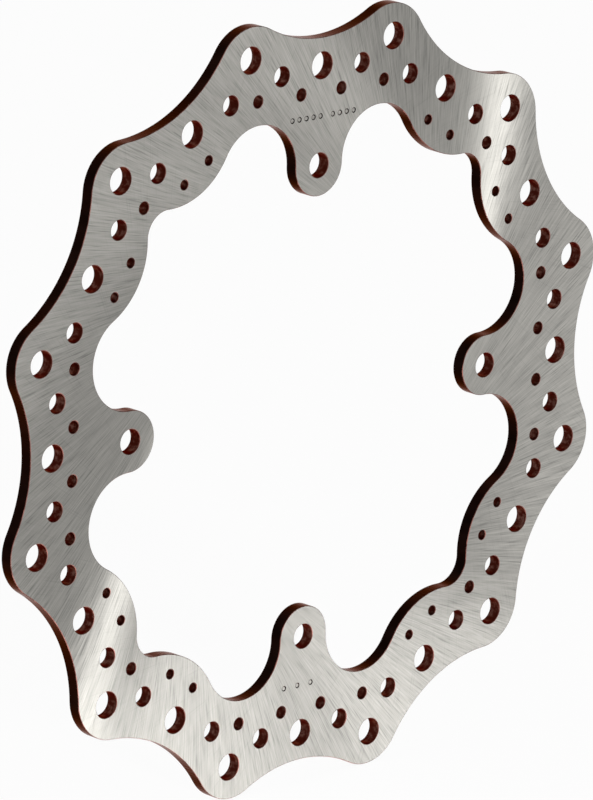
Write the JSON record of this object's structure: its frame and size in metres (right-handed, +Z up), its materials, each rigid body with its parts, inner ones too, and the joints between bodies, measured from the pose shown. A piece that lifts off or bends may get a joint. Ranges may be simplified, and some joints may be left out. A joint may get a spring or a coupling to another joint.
{
  "type": "brake disc",
  "caption": "Flat wave-rim brake disc with drilled ventilation holes and inward lugs that bolt to a wheel hub.",
  "frame": {"origin": "centre of the disc, on its axis, midway between its two faces", "axes": "+Y along the axis towards the hub side, +Z up through one lug, +X through the next lug; the outer face looks along -Y"},
  "size_m": [0.2328, 0.004, 0.2328],
  "materials": {
    "ground_steel": "ground faces, dark heat-tinted cut edges"
  },
  "bodies": {
    "root": {"brake_disc": "ground_steel"}
  },
  "joints": []
}
